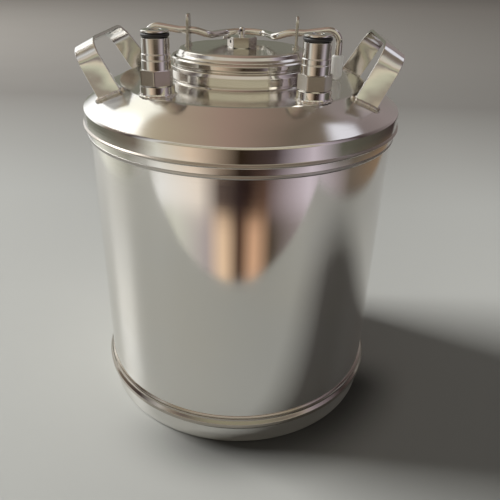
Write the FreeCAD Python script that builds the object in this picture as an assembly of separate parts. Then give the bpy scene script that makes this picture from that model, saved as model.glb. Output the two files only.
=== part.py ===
import FreeCAD, Part
import math
import os
from FreeCAD import Vector as V

# Small welded stainless pressure keg, ball-lock pattern, with an oval mouth and an internal
# lid closed by a bail. Millimetres. Origin at the floor centre of the vessel, +Z up.
# The two posts are on the -Y side; the two handles and the mouth's long axis lie along X.

os.makedirs("parts", exist_ok=True)

# ---------------------------------------------------------------- shared dimensions
FIT = 0.06              # radial gap between fitted parts
LIFT = 0.02             # gap under a part that stands on another
OVERLAP = 0.05          # how far a seam bead sinks into the shell

R_BODY = 110.0          # outer radius of the cylindrical shell
T_SHELL = 1.2           # sheet of the shell
T_END = 1.5             # sheet of the pressed ends and the foot ring
R_SKIRT = R_BODY + FIT + T_END   # outer radius of a skirt that laps the shell
Z_FLAT = 250.0          # flat of the top end

MOUTH_RATIO = 0.87      # mouth's short axis over its long axis
A_BORE = 50.1           # collar bore under the lip, half length
Z_LIP_LO = 259.0        # underside of the collar's lip, the seal seat
Z_LID_TOP = 270.8       # lid's flat top

POST_X = 49.0           # post axis, half spacing
POST_Y = -59.4          # post axis
R_SPIGOT = 8.0          # boss spigot through the top end
Z_BOSS = 255.9          # top of the boss flange

Z_PIVOT = 281.0         # bail pivot axis
R_WIRE = 2.4            # bail wire radius


# ---------------------------------------------------------------- helpers
# An outline is a list of rows (r, z, corner radius). Radius 0 is a sharp corner.
# The first row of a closed outline, and both end rows of an open one, are always sharp.

def save(name, shape):
    shape.exportStep("parts/" + name + ".step")


def moved(shape, x, y):
    copy = shape.copy()
    copy.translate(V(x, y, 0))
    return copy


def mirrored_x(shape):
    return shape.mirror(V(0, 0, 0), V(1, 0, 0))


def save_pair(part, gas, liquid):
    """Saves shapes built on the Z axis at the gas post (-X) and the liquid post (+X)."""
    save("gas_" + part, moved(gas, -POST_X, POST_Y))
    save("liquid_" + part, moved(liquid, POST_X, POST_Y))


def add_line(edges, start, end):
    if (end - start).Length > 1e-6:
        edges.append(Part.makeLine(start, end))


def rounded_edges(corners):
    """Straight runs through (point, radius) corners, with an arc at each rounded one."""
    edges = []
    current = corners[0][0]
    for i in range(1, len(corners) - 1):
        corner, radius = corners[i]
        if radius <= 1e-6:
            add_line(edges, current, corner)
            current = corner
            continue
        back = (corners[i - 1][0] - corner).normalize()
        ahead = (corners[i + 1][0] - corner).normalize()
        half_angle = back.getAngle(ahead) / 2
        setback = radius / math.tan(half_angle)
        start = corner + back * setback
        end = corner + ahead * setback
        inward = (back + ahead).normalize()
        centre = corner + inward * (radius / math.sin(half_angle))
        add_line(edges, current, start)
        edges.append(Part.Arc(start, centre - inward * radius, end).toShape())
        current = end
    add_line(edges, current, corners[-1][0])
    return edges


def rz_point(r, z):
    return V(r, 0, z)


def placed(rows, place):
    return [(place(u, v), radius) for u, v, radius in rows]


def closed_face(rows, place=rz_point):
    corners = placed(rows, place)
    return Part.Face(Part.Wire(rounded_edges(corners + corners[:1])))


def offset_rows(rows, distance):
    """Outline shifted to the left of its direction, with corner arcs kept concentric."""
    dirs = []
    for a, b in zip(rows, rows[1:]):
        du, dv = b[0] - a[0], b[1] - a[1]
        length = math.hypot(du, dv)
        dirs.append((du / length, dv / length))

    def shifted(row, along):
        return row[0] - along[1] * distance, row[1] + along[0] * distance

    result = [shifted(rows[0], dirs[0]) + (0.0,)]
    for row, a, b in zip(rows[1:-1], dirs, dirs[1:]):
        turn = a[0] * b[1] - a[1] * b[0]
        on_a, on_b = shifted(row, a), shifted(row, b)
        # slide along a to where the two shifted runs cross
        t = ((on_b[0] - on_a[0]) * b[1] - (on_b[1] - on_a[1]) * b[0]) / turn
        radius = max(0.0, row[2] - distance) if turn > 0 else row[2] + distance
        result.append((on_a[0] + a[0] * t, on_a[1] + a[1] * t, radius))
    result.append(shifted(rows[-1], dirs[-1]) + (0.0,))
    return result


def sheet_wire(rows, thickness, place=rz_point):
    """Outline of a sheet that lies to the left of the open outline given."""
    outer = placed(rows, place)
    inner = placed(offset_rows(rows, thickness), place)
    edges = rounded_edges(outer)
    edges.append(Part.makeLine(outer[-1][0], inner[-1][0]))
    edges += rounded_edges(inner[::-1])
    edges.append(Part.makeLine(inner[0][0], outer[0][0]))
    return Part.Wire(edges)


def spin(face):
    return face.revolve(V(0, 0, 0), V(0, 0, 1), 360)


def spun_sheet(rows):
    return spin(Part.Face(sheet_wire(rows, T_END)))


def cyl(radius, z0, z1, x=0.0, y=0.0):
    return Part.makeCylinder(radius, z1 - z0, V(x, y, z0))


def ring(r_in, r_out, z0, z1):
    return cyl(r_out, z0, z1).cut(cyl(r_in, z0 - 1, z1 + 1))


def torus(r_mid, r_section, z):
    return Part.makeTorus(r_mid, r_section, V(0, 0, z), V(0, 0, 1))


def oval(shape):
    """Squeezes a round part along Y into the mouth's oval."""
    squeeze = FreeCAD.Matrix()
    squeeze.A22 = MOUTH_RATIO
    return shape.transformGeometry(squeeze)


def hexagon(across_flats, z0, z1, turn):
    """Hexagonal prism with a turned chamfer on both ends; turn is in degrees."""
    chamfer = 0.55
    r_corner = across_flats / math.sqrt(3)
    r_face = across_flats / 2 + 0.15
    r_turned = r_corner + 0.05
    points = []
    for k in range(7):
        angle = math.radians(turn + 60 * k)
        points.append(V(r_corner * math.cos(angle), r_corner * math.sin(angle), z0))
    prism = Part.Face(Part.makePolygon(points)).extrude(V(0, 0, z1 - z0))
    turned = spin(Part.Face(Part.makePolygon([
        V(0, 0, z0), V(r_face, 0, z0), V(r_turned, 0, z0 + chamfer),
        V(r_turned, 0, z1 - chamfer), V(r_face, 0, z1), V(0, 0, z1), V(0, 0, z0)])))
    return prism.common(turned)


def wire_rod(corners, radius):
    """Round wire along (point, bend radius) corners."""
    path = Part.Wire(rounded_edges(corners))
    start = corners[0][0]
    direction = (corners[1][0] - start).normalize()
    profile = Part.Wire(Part.makeCircle(radius, start, direction))
    return path.makePipeShell([profile], True, True)


def helix_spring(r_mid, r_wire, z0, z1, turns):
    helix = Part.makeHelix((z1 - z0) / turns, z1 - z0, r_mid)
    helix.translate(V(0, 0, z0))
    profile = Part.Wire(Part.makeCircle(r_wire, V(r_mid, 0, z0), V(0, 1, 0)))
    return Part.Wire(helix.Edges).makePipeShell([profile], True, True)


def weld_bar(start, end, radius):
    """Short weld bead: a capsule half sunk in the sheet."""
    run = end - start
    bar = Part.makeCylinder(radius, run.Length, start, run)
    return bar.fuse([Part.makeSphere(radius, start), Part.makeSphere(radius, end)]).removeSplitter()


# ---------------------------------------------------------------- vessel
Z_BODY_LO = 19.0        # lower edge of the shell, inside the foot ring's bead
Z_BODY_HI = 228.0       # upper edge of the shell, inside the top end's skirt
Z_SKIRT = 217.0         # lower edge of the top end's skirt
R_CAP = 112.9           # outer radius of the top end's wall
Z_KNEE = 234.1          # knee between wall and shoulder
R_CREST = 87.0          # crest between shoulder and flat
R_FLANGE = R_BODY - T_SHELL - 0.05   # bottom end's flange, inside the shell
R_BEAD = R_BODY - OVERLAP            # inner radius of the seam beads

# Knee, middle and crest of the top end's outer shoulder.
SHOULDER = [(R_CAP, Z_KNEE, 3.0), (101.5, 242.9, 60.0), (R_CREST, Z_FLAT, 6.0)]

# Skirt over the shell, rolled bead, short wall, sloping shoulder, crest and flat.
TOP_END = [
    (R_SKIRT, Z_SKIRT, 0.0), (R_SKIRT, 221.2, 0.5), (113.9, 222.5, 0.4), (113.9, 223.1, 0.4),
    (R_CAP, 224.2, 0.6), *SHOULDER, (38.0, Z_FLAT, 0.0)]

TOP_SEAM = [
    (R_BEAD, 214.2, 0.0), (R_BODY + 1.0, 214.2, 0.6), (R_BODY + 1.75, 215.2, 0.8),
    (R_BODY + 1.75, 216.6, 0.6), (R_BODY + 1.2, 217.05, 0.3), (R_BEAD, 217.05, 0.0)]

# Dished downward, with its flange up inside the shell.
BOTTOM_END = [
    (0.0, 4.0, 0.0), (34.0, 4.0, 300.0), (72.0, 7.0, 200.0), (102.0, 13.2, 14.0),
    (R_FLANGE, 21.0, 6.0), (R_FLANGE, 34.0, 0.0)]

# Skirt the keg stands on, rolled bead above it, lip that laps the shell.
FOOT_RING = [
    (105.2, 0.0, 0.0), (109.7, 0.0, 2.0), (110.6, 9.0, 20.0), (110.9, 15.5, 1.6),
    (113.3, 18.3, 1.5), (113.3, 21.2, 1.5), (R_SKIRT, 23.6, 1.2), (R_SKIRT, 25.2, 0.0)]

BOTTOM_SEAM = [
    (R_BEAD, 25.15, 0.0), (R_BODY + 1.1, 25.15, 0.3), (R_BODY + 1.0, 26.2, 0.5),
    (R_BODY + 0.3, 27.0, 0.3), (R_BEAD, 27.1, 0.0)]


def top_dome():
    """Top end with the oval mouth and the two port holes."""
    z_cut = (240, 262)
    dome = spun_sheet(TOP_END).cut(oval(cyl(A_BORE, *z_cut)))
    for side in (-1, 1):
        dome = dome.cut(cyl(R_SPIGOT + FIT, *z_cut, side * POST_X, POST_Y))
    return dome


save("body_shell", ring(R_BODY - T_SHELL, R_BODY, Z_BODY_LO, Z_BODY_HI))
save("top_dome", top_dome())
save("top_seam_bead", spin(closed_face(TOP_SEAM)))
save("bottom_dome", spun_sheet(BOTTOM_END))
save("foot_ring", spun_sheet(FOOT_RING))
save("bottom_seam_bead", spin(closed_face(BOTTOM_SEAM)))

# ---------------------------------------------------------------- collar
A_BAND = 51.5           # collar band at its foot, outer half length
A_BULGE = A_BAND + 0.35  # collar band at its widest
A_OPEN = 47.4           # lip opening, half length
Z_LIP_HI = 265.7        # top of the rolled lip

# Band welded to the flat, with a rolled lip above it; r is the half length along X.
COLLAR = [
    (A_BORE, Z_FLAT + LIFT, 0.0), (A_BAND, Z_FLAT + LIFT, 0.0),
    (A_BULGE, 252.2, 1.0), (A_BULGE, 257.2, 1.5), (A_BAND - 0.9, 259.5, 1.4),
    (49.2, 260.2, 0.4), (49.2, 261.2, 0.4), (50.1, 262.0, 0.4), (50.1, 264.6, 0.8),
    (49.0, Z_LIP_HI, 0.8), (48.1, Z_LIP_HI, 0.5), (A_OPEN, 264.6, 0.4),
    (A_OPEN, Z_LIP_LO, 0.5), (A_BORE, Z_LIP_LO, 0.0)]

save("neck_collar", oval(spin(closed_face(COLLAR))))

# ---------------------------------------------------------------- port bosses
R_PORT = 5.2            # bore of the boss
R_BOSS = 11.0           # flange on the flat
R_STUB = 7.4            # stub inside the post
Z_SPIGOT_LO = 246.5
Z_STUB_HI = 263.2


def port_boss():
    """Flange on the flat, spigot through the top end, stub that the post screws on."""
    flange = ring(R_PORT, R_BOSS, Z_FLAT + LIFT, Z_BOSS)
    spigot = ring(R_PORT, R_SPIGOT, Z_SPIGOT_LO, Z_FLAT + LIFT)
    stub = ring(R_PORT, R_STUB, Z_BOSS, Z_STUB_HI)
    return flange.fuse(spigot).fuse(stub).removeSplitter()


save_pair("port_boss", port_boss(), port_boss())

# ---------------------------------------------------------------- handles
# Each handle is a strap lofted between two leaning arches: one along the edge near the
# mouth, one along the edge away from it. The arches stand across X, their legs apart in Y.
T_STRAP = 2.0
LEG_LOW = -12.0         # how far the legs run below the arch base before trimming
R_HANDLE_WELD = 1.45

# z and base width at the foot of the legs, width at the top, rise along the lean, corner bend
NEAR_ARCH = dict(z=248.0, base=101.0, top=81.0, rise=38.0, bend=16.5)
FAR_ARCH = dict(z=241.7, base=98.0, top=85.5, rise=35.6, bend=14.5)

# Welded by hand, the two handles lean a little differently (lean in degrees outward).
RIGHT_HANDLE = (dict(NEAR_ARCH, x=75.7, lean=28.4), dict(FAR_ARCH, x=90.7, lean=27.0))
LEFT_HANDLE = (dict(NEAR_ARCH, x=75.0, lean=33.6), dict(FAR_ARCH, x=91.0, lean=29.6))

# Solid under the top end's outer surface, which trims the legs.
LEG_TRIM = [
    (0.0, 200.0, 0.0), (R_SKIRT, 200.0, 0.0), (R_CAP, 205.0, 0.0), *SHOULDER,
    (0.0, Z_FLAT, 0.0)]


def arch(edge):
    lean = math.radians(edge["lean"])
    up = V(math.sin(lean), 0, math.cos(lean))
    base = V(edge["x"], 0, edge["z"])
    half_base, half_top = edge["base"] / 2, edge["top"] / 2
    rise, bend = edge["rise"], edge["bend"]
    # the legs keep their splay below the base
    half_low = half_base + (half_base - half_top) * (-LEG_LOW / rise)
    rows = [(half_low, LEG_LOW, 0.0), (half_top, rise, bend),
            (-half_top, rise, bend), (-half_low, LEG_LOW, 0.0)]
    return sheet_wire(rows, T_STRAP, lambda y, along: base + V(0, y, 0) + up * along)


def handle(near, far):
    strap = Part.makeLoft([arch(near), arch(far)], True, True)
    strap = strap.cut(spin(closed_face(LEG_TRIM)))
    return max(strap.Solids, key=lambda solid: solid.Volume)


def shoulder_z(r):
    """Height of the top end at radius r, taken along straight runs."""
    (r_knee, z_knee, _), (r_mid, z_mid, _), (r_crest, z_crest, _) = SHOULDER
    if r <= r_crest:
        return z_crest
    if r <= r_mid:
        return z_crest + (z_mid - z_crest) * (r - r_crest) / (r_mid - r_crest)
    return z_mid + (z_knee - z_mid) * (r - r_mid) / (r_knee - r_mid)


def handle_welds(near, far):
    """A bead down each side of each leg's foot."""
    beads = []
    for leg in (-1, 1):
        for side in (-1, 1):
            ends = []
            for share in (0.06, 0.94):      # bead ends, as shares of the strap's width
                x = near["x"] + (far["x"] - near["x"]) * share
                width = near["base"] + (far["base"] - near["base"]) * share
                y = leg * (width / 2 - T_STRAP / 2) + side * (T_STRAP / 2 + 0.6)
                ends.append(V(x, y, shoulder_z(math.hypot(x, y)) + 0.35))
            beads.append(weld_bar(ends[0], ends[1], R_HANDLE_WELD))
    return beads


save("handle_right", handle(*RIGHT_HANDLE))
save("handle_left", mirrored_x(handle(*LEFT_HANDLE)))
save("handle_right_welds", Part.makeCompound(handle_welds(*RIGHT_HANDLE)))
save("handle_left_welds",
     Part.makeCompound([mirrored_x(bead) for bead in handle_welds(*LEFT_HANDLE)]))

# ---------------------------------------------------------------- posts
R_POST = 8.62           # upper barrel, which takes the connector
POST_AF = 18.6          # hexagon across flats
Z_HEX = 265.6           # top of the hexagon
Z_POST_LO = 274.4       # step between lower and upper barrel
Z_POST_TOP = 288.4      # top face
LIQUID_HEX_TURN = 2.0   # degrees
GAS_HEX_TURN = 30.0 + LIQUID_HEX_TURN

R_THREAD_BORE = 7.45    # bore around the boss stub
R_CHAMBER = 6.2         # bore around the poppet
R_POPPET_HOLE = 3.9     # hole in the top face
Z_CHAMBER_LO = 264.6
Z_CONE_LO = 282.6       # foot of the cone between chamber and hole
Z_CONE_HI = 284.6

# Lower barrel with a shallow groove, upper barrel, O-ring groove, top lip.
POST = [
    (0.0, Z_BOSS + LIFT, 0.0), (9.2, Z_BOSS + LIFT, 0.0), (9.2, 270.9, 0.3),
    (8.8, 271.2, 0.15), (8.8, 271.6, 0.15), (9.05, 271.9, 0.15), (9.05, Z_POST_LO, 0.3),
    (R_POST, 275.0, 0.3), (R_POST, 283.9, 0.2), (6.3, 283.9, 0.0), (6.3, 287.1, 0.0),
    (R_POST, 287.1, 0.15), (R_POST, 288.0, 0.15), (8.1, Z_POST_TOP, 0.2),
    (0.0, Z_POST_TOP, 0.0)]

# Tail that guides the spring, disc under the seal, pin up through the top hole.
POPPET = [
    (0.0, 270.0, 0.0), (1.9, 270.0, 0.3), (1.9, 279.4, 0.0), (4.9, 279.4, 0.3),
    (4.9, 280.9, 0.2), (2.6, 281.6, 0.2), (2.6, 287.2, 0.0), (2.2, 287.7, 0.3),
    (0.0, 287.7, 0.0)]

# Conical face seal around the pin, just under the cone.
POPPET_SEAL = [
    (2.66, 281.7, 0.0), (5.0, 280.98, 0.1), (5.6, 281.6, 0.2), (5.72, 282.88, 0.2),
    (4.22, 284.2, 0.2), (2.66, 284.2, 0.0)]


def post(hex_turn):
    body = spin(closed_face(POST))
    body = body.fuse(hexagon(POST_AF, Z_BOSS + LIFT, Z_HEX, hex_turn)).removeSplitter()
    cone = Part.makeCone(R_CHAMBER, R_POPPET_HOLE, Z_CONE_HI - Z_CONE_LO, V(0, 0, Z_CONE_LO))
    bore = cyl(R_THREAD_BORE, 250, Z_CHAMBER_LO).fuse(cyl(R_CHAMBER, Z_CHAMBER_LO, Z_CONE_LO))
    bore = bore.fuse(cone).fuse(cyl(R_POPPET_HOLE, Z_CONE_HI, 292))
    return body.cut(bore)


save_pair("post", post(GAS_HEX_TURN), post(LIQUID_HEX_TURN))

post_oring = torus(r_mid=7.60, r_section=1.25, z=285.5)
save_pair("post_oring", post_oring, post_oring)

poppet = spin(closed_face(POPPET))
save_pair("poppet", poppet, poppet)

poppet_seal = spin(closed_face(POPPET_SEAL))
save_pair("poppet_seal", poppet_seal, poppet_seal)

poppet_spring = helix_spring(r_mid=3.6, r_wire=0.4, z0=267.35, z1=278.9, turns=5.0)
save_pair("poppet_spring", poppet_spring, poppet_spring)

# ---------------------------------------------------------------- dip tubes
R_TUBE_BORE = 3.2
R_TUBE = 3.95
R_TUBE_HEAD = 6.0
Z_HEAD_LO = 265.2
Z_HEAD_HI = 266.4
Z_GAS_END = 226.0
Z_LIQUID_END = 16.0


def dip_tube(z_end):
    head = ring(R_TUBE_BORE, R_TUBE_HEAD, Z_HEAD_LO, Z_HEAD_HI)
    return head.fuse(ring(R_TUBE_BORE, R_TUBE, z_end, Z_HEAD_LO)).removeSplitter()


def slant_cutter(z_end):
    """Tilted block that slants the tube's mouth so it can't seal against the bottom."""
    size = 12
    block = Part.makeBox(size, size, size, V(-size / 2, -size / 2, z_end - size))
    block.rotate(V(0, 0, z_end), V(0, 1, 0), 30)
    block.translate(V(0, 0, 2.6))
    return block


save_pair("dip_tube", dip_tube(Z_GAS_END), dip_tube(Z_LIQUID_END).cut(slant_cutter(Z_LIQUID_END)))

tube_oring = torus(r_mid=4.98, r_section=0.95, z=264.2)
save_pair("tube_oring", tube_oring, tube_oring)

# ---------------------------------------------------------------- lid
A_LID = 46.8            # raised plug, half length
A_NECK = 44.7           # seal groove, half length
A_FLANGE = 49.6         # bottom flange, half length
A_HOLLOW = 42.9         # hollow underside, half length
Z_FLANGE_LO = 251.4
Z_FLANGE_HI = 253.0
Z_LID_UNDER = Z_LID_TOP - 2.0   # underside of the lid's sheet

# Flat top, rounded edge, plug wall, necked groove, flange, hollow; r is the half length.
LID = [
    (0.0, Z_LID_TOP, 0.0), (41.6, Z_LID_TOP, 2.0), (44.0, 269.9, 1.6), (45.3, 267.6, 1.2),
    (A_LID, 266.2, 0.8), (A_LID, 260.6, 0.6), (A_NECK, 259.2, 0.6), (A_NECK, Z_FLANGE_HI, 0.6),
    (A_FLANGE, Z_FLANGE_HI, 0.4), (A_FLANGE, Z_FLANGE_LO, 0.4), (A_HOLLOW, Z_FLANGE_LO, 0.8),
    (A_HOLLOW, 265.0, 1.5), (41.2, Z_LID_UNDER, 1.5), (0.0, Z_LID_UNDER, 0.0)]

X_EAR = 37.8            # middle of each ear
T_EAR = 2.0             # ear sheet
R_EAR_WELD = 0.85

# Ear outline: (y, z, corner radius).
EAR = [
    (-6.0, Z_LID_TOP + LIFT, 0.0), (6.0, Z_LID_TOP + LIFT, 0.0),
    (5.2, 291.8, 4.0), (-5.2, 291.8, 4.0)]


def lid_oring():
    """Ring section trimmed to the room between neck, flange, collar bore and lip."""
    room = ring(A_NECK + 0.05, A_BORE - FIT, Z_FLANGE_HI + 0.05, Z_LIP_LO - 0.04)
    return oval(torus(r_mid=47.40, r_section=2.93, z=256.0).common(room))


def ear(x):
    """Upright plate on the lid, with the bail's bearing hole."""
    face = closed_face(EAR, place=lambda y, z: V(x - T_EAR / 2, y, z))
    hole = Part.makeCylinder(R_WIRE + FIT, 10, V(x - 5, 0, Z_PIVOT), V(1, 0, 0))
    return face.extrude(V(T_EAR, 0, 0)).cut(hole)


def ear_welds(x):
    beads = []
    for side in (-1, 1):
        x_bead = x + side * (T_EAR / 2 + 0.35)
        z_bead = Z_LID_TOP + 0.1
        beads.append(weld_bar(V(x_bead, -5.2, z_bead), V(x_bead, 5.2, z_bead), R_EAR_WELD))
    return beads


save("lid", oval(spin(closed_face(LID))).cut(cyl(5.6, 262, 275)))
save("lid_oring", lid_oring())
save("lid_brackets", Part.makeCompound([ear(-X_EAR), ear(X_EAR)]))
save("lid_bracket_welds", Part.makeCompound(ear_welds(-X_EAR) + ear_welds(X_EAR)))

# ---------------------------------------------------------------- bail
X_FOOT = 67.5           # bail foot, half spacing
R_FOOT = 4.0            # foot cap radius
GAP_FOOT = 0.40         # running gap under each foot cap
Z_WIRE_END = 255.1      # lower end of the wire, inside the cap
Z_CAP_RIM = 266.2       # foot of the cap's upper taper

# Half of the wire (x, y, z, bend radius): foot, up, inboard through the ear, then back
# in +Y to the crossbar behind the relief valve. The other half mirrors it.
HALF_BAIL = [
    (X_FOOT, 0, Z_WIRE_END, 0.0), (X_FOOT, 0, 284.3, 8.0),
    (44.0, 0, Z_PIVOT, 20.0), (33.0, 0, Z_PIVOT, 12.0),
    (23.0, 3.0, 277.7, 8.0), (15.5, 30.0, 276.1, 9.0)]
CROSSBAR = (1.5, 35.5, 277.0, 24.0)     # bend in the crossbar, a little off centre


def bail_wire():
    other_half = [(-x, y, z, bend) for x, y, z, bend in HALF_BAIL[::-1]]
    rows = HALF_BAIL + [CROSSBAR] + other_half
    return wire_rod([(V(x, y, z), bend) for x, y, z, bend in rows], R_WIRE)


def foot_cap(x):
    """Round-ended cap over the end of the wire."""
    z_centre = Z_FLAT + GAP_FOOT + R_FOOT
    cap = cyl(R_FOOT, z_centre, Z_CAP_RIM, x).fuse(Part.makeSphere(R_FOOT, V(x, 0, z_centre)))
    cap = cap.fuse(Part.makeCone(R_FOOT, R_FOOT - 0.8, 0.9, V(x, 0, Z_CAP_RIM)))
    return cap.removeSplitter().cut(cyl(R_WIRE + 0.03, Z_WIRE_END - 0.05, 270, x))


save("bail_wire", bail_wire())
save("bail_foot_caps", Part.makeCompound([foot_cap(-X_FOOT), foot_cap(X_FOOT)]))

# ---------------------------------------------------------------- relief valve, mid lid
R_SHANK = 5.5           # shank through the lid
R_VALVE_BORE = 3.9      # bore for seat, seal and spring
Z_BORE_TOP = 276.2
R_STEM = 2.0
Z_EYE = 281.8           # eye through the stem's top
Z_STEM_FLANGE = 265.2   # top of the stem's flange, under the spring
SPRING_INSET = 0.47     # from the spring's seats to the wire's centre

RING_AZIMUTH = 150.0    # the pull ring lies towards -X and +Y
DROOP = math.radians(25.0)   # and hangs this far below level
RING_R = 8.0

# Tip inside the seal, flange above it, rod up through the body.
STEM = [
    (0.0, 262.7, 0.0), (1.2, 262.7, 0.1), (1.2, 264.2, 0.0), (3.4, 264.2, 0.15),
    (3.4, Z_STEM_FLANGE, 0.15), (R_STEM, Z_STEM_FLANGE, 0.0), (R_STEM, 283.0, 0.3),
    (1.5, 283.7, 0.3), (0.0, 283.7, 0.0)]


def level_direction(azimuth):
    angle = math.radians(azimuth)
    return V(math.cos(angle), math.sin(angle), 0)


def cross_drill(radius, length, z, direction):
    return Part.makeCylinder(radius, length, V(0, 0, z) - direction * (length / 2), direction)


def prv_body():
    """Hexagon head and shank, bored, with a gasket recess and a cross-drilled vent."""
    body = hexagon(18.0, Z_LID_TOP + LIFT, 277.9, 0.0)
    body = body.fuse(cyl(R_SHANK, 257.0, 272.0)).removeSplitter()
    body = body.cut(cyl(R_VALVE_BORE, 250.0, Z_BORE_TOP)).cut(cyl(R_STEM + 0.08, 270.0, 290.0))
    body = body.cut(ring(R_SHANK, 8.3, 270.0, 271.62))
    return body.cut(cross_drill(1.2, 30, 274.8, level_direction(-150)))


eye_axis = level_direction(RING_AZIMUTH - 90)


def pull_ring():
    """Round wire ring through the stem's eye."""
    to_centre = level_direction(RING_AZIMUTH) * math.cos(DROOP) - V(0, 0, math.sin(DROOP))
    normal = eye_axis.cross(to_centre).normalize()
    return Part.makeTorus(RING_R, 0.75, V(0, 0, Z_EYE) + to_centre * RING_R, normal)


save("prv_body", prv_body())
save("prv_gasket", ring(R_SHANK + FIT, 8.25, Z_LID_TOP + LIFT, 271.6))
save("prv_nut", hexagon(16.0, 263.2, 268.75, 0.0).cut(cyl(R_SHANK + FIT, 262, 275)))
save("prv_seat", ring(1.8, R_VALVE_BORE - FIT, 257.4, 262.5))
save("prv_stem", spin(closed_face(STEM)).cut(cross_drill(1.15, 12, Z_EYE, eye_axis)))
save("prv_seal", ring(1.24, 3.3, 262.55, 264.16))
save("prv_spring", helix_spring(r_mid=2.85, r_wire=0.42, z0=Z_STEM_FLANGE + SPRING_INSET,
                                z1=Z_BORE_TOP - SPRING_INSET, turns=5.5))
save("prv_pull_ring", pull_ring())
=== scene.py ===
"""A small stainless steel keg: vessel, two threaded-in posts, oval lid with a wire bail.

The keg stands on the floor at z = 0 with its axis on Z. The camera looks from the front, -Y.
The gas post is front left (-X), the liquid post front right (+X), a strap handle on each side.
Meshes are worked out in millimetres and stored in metres; shaders, stage, lights and camera
are in metres.
"""
import math

import bmesh
import bpy
from mathutils import Matrix, Vector, noise


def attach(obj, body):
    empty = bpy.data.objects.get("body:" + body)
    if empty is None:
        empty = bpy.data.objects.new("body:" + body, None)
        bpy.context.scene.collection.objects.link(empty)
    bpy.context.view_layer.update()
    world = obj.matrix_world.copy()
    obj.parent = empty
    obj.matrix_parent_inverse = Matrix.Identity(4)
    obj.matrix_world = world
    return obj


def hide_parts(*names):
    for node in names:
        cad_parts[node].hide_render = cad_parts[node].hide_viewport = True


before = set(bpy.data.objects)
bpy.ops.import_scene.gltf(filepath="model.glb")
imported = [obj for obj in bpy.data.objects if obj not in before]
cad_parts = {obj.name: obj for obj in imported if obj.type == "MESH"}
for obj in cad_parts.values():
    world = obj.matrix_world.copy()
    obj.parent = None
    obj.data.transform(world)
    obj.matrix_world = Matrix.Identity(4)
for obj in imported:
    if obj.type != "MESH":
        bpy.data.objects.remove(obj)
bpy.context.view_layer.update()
MM = 0.001
TAU = 2 * math.pi

# ---------------------------------------------------------------- driving dimensions (mm)
# vessel: R is a radius, T a sheet thickness, Z a height
R_BODY, T_SHELL, T_END = 110.0, 1.2, 1.5
R_SHELL_IN = R_BODY - T_SHELL
R_SKIRT = R_BODY + 0.06 + T_END          # end pieces slipped over the shell
R_SHOULDER, Z_KNEE, R_CREST, Z_FLAT = 112.9, 233.9, 88.0, 250.0
R_FLAT_IN = 66.0                         # where the round flat starts to turn oval

# neck and lid: ovals, given by half their width in x; depth in y is OVAL times that
OVAL = 0.87
A_BAND, A_OPENING, A_BORE = 51.5, 47.4, 50.1
Z_LIP_LOW, Z_LIP_TOP = 259.0, 265.7
A_LID, A_FLANGE, Z_LID_TOP, T_LID = 46.8, 49.6, 270.8, 2.0

# bail and its plastic feet
Z_PIVOT, R_WIRE = 281.0, 2.4
X_FOOT, R_FOOT, FOOT_GAP = 67.5, 4.0, 0.40

# posts
POST_X, POST_Y, R_POST = 49.0, -59.4, 8.62
Z_BOSS, Z_HEX, Z_POST_NECK, Z_POST_TOP = 255.9, 265.6, 274.4, 288.4

CAMERA_TURN = math.radians(3.7)          # the camera stands this far round to the right


# ---------------------------------------------------------------- profile helpers
# A path is a list of stations: (r, z) at its two ends, (r, z, corner rounding) between them.
def between(a, b, f):
    return a[0] + (b[0] - a[0]) * f, a[1] + (b[1] - a[1]) * f


def unit(a, b):
    """Direction from a to b."""
    dx, dz = b[0] - a[0], b[1] - a[1]
    length = math.hypot(dx, dz)
    return dx / length, dz / length


def corner_arc(a, b, c, radius, step=None, count=None):
    """Arc that rounds the corner at b, in count parts or in parts of about step degrees."""
    u, w = unit(b, a), unit(b, c)
    angle = math.acos(max(-1, min(1, u[0] * w[0] + u[1] * w[1])))
    if radius <= 1e-6 or angle > math.pi - 1e-4:
        return [(b[0], b[1])]
    back = radius / math.tan(angle / 2)
    n = unit((0, 0), (u[0] + w[0], u[1] + w[1]))
    reach = math.sin(angle / 2)
    cen = (b[0] + n[0] * radius / reach, b[1] + n[1] * radius / reach)
    p = (b[0] + u[0] * back, b[1] + u[1] * back)
    q = (b[0] + w[0] * back, b[1] + w[1] * back)
    start = math.atan2(p[1] - cen[1], p[0] - cen[0])
    end = math.atan2(q[1] - cen[1], q[0] - cen[0])
    sweep = (end - start + math.pi) % TAU - math.pi
    count = count or max(3, int(math.ceil(abs(math.degrees(sweep)) / step)))
    angles = [start + sweep * j / count for j in range(count + 1)]
    return [(cen[0] + radius * math.cos(t), cen[1] + radius * math.sin(t)) for t in angles]


def round_path(stations, step=9.0):
    """Polyline through the stations with every inner corner rounded."""
    points = [tuple(stations[0][:2])]
    for a, b, c in zip(stations, stations[1:], stations[2:]):
        points += corner_arc(a, b, c, b[2], step)
    points.append(tuple(stations[-1][:2]))
    path = [points[0]]
    for p in points[1:]:
        if math.hypot(p[0] - path[-1][0], p[1] - path[-1][1]) > 1e-4:
            path.append(p)
    return path


def inner_face(stations, thickness, step):
    """Rounded path of a sheet's other face, run backwards."""
    dirs = [unit(a, b) for a, b in zip(stations, stations[1:])]

    def shift(point, along):
        return point[0] - along[1] * thickness, point[1] + along[0] * thickness

    path = [shift(stations[0], dirs[0])]
    for station, a, b in zip(stations[1:-1], dirs, dirs[1:]):
        turn = a[0] * b[1] - a[1] * b[0]
        p, q = shift(station, a), shift(station, b)
        t = ((q[0] - p[0]) * b[1] - (q[1] - p[1]) * b[0]) / turn
        radius = max(0.0, station[2] - thickness) if turn > 0 else station[2] + thickness
        path.append((p[0] + a[0] * t, p[1] + a[1] * t, radius))
    path.append(shift(stations[-1], dirs[-1]))
    return round_path(path[::-1], step)


def sheet_outline(stations, thickness, step):
    return round_path(stations, step) + inner_face(stations, thickness, step)


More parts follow.
